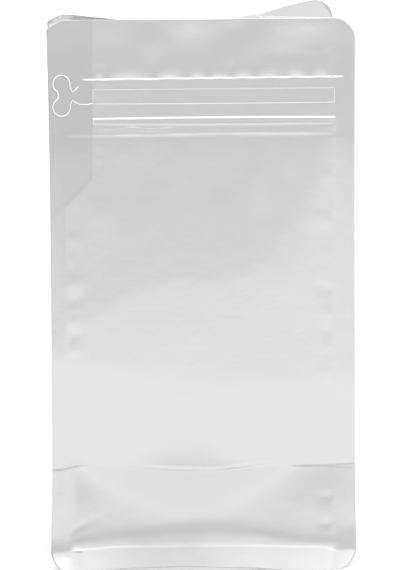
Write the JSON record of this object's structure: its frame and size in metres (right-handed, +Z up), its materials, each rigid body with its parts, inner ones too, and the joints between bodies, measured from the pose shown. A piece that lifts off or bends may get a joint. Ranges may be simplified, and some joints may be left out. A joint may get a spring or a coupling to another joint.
{
  "type": "flat-bottom pouch",
  "caption": "Plain satin film pouch with a flat base, folded side gussets, a press-to-close strip and an open mouth, standing empty.",
  "frame": {"origin": "on the surface that the pouch stands on, under the middle of its outer box", "axes": "+Z up along the height, front panel facing -Y, left and right side seals towards -X and +X"},
  "size_m": [0.1356, 0.0776, 0.2434],
  "materials": {
    "panel_film": "satin silver-white laminate film, unprinted",
    "gusset_film": "the same satin film, side gussets and base",
    "press_strip": "extruded translucent white strip"
  },
  "bodies": {
    "root": {"front_panel": "panel_film", "back_panel": "panel_film", "gusset_left": "gusset_film", "gusset_right": "gusset_film", "base_panel": "gusset_film", "zipper_strip": "press_strip"}
  },
  "joints": []
}
